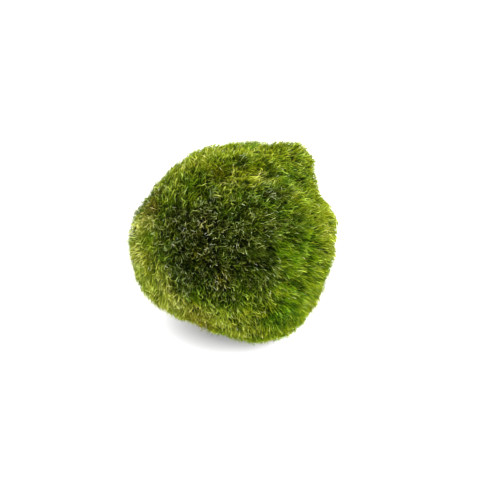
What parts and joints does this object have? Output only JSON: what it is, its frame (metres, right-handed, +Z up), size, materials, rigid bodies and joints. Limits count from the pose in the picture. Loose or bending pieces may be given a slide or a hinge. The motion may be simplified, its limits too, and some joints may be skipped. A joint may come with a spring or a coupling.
{
  "type": "marimo moss ball",
  "caption": "Soft, slightly lumpy ball of green water moss with a raised knob near its top, resting on a small flat spot.",
  "frame": {"origin": "centre of the flat spot on the underside, where the ball rests", "axes": "+Z up, away from the flat spot; -Y towards the front, the side with the dark crown; +X to the right of that side, towards the knob"},
  "size_m": [0.0512, 0.0507, 0.0479],
  "materials": {
    "moss": "soft matte pile of fine filaments, moss green with a near-black crown and yellow-green rims"
  },
  "bodies": {
    "root": {"moss_ball": "moss"}
  },
  "joints": []
}
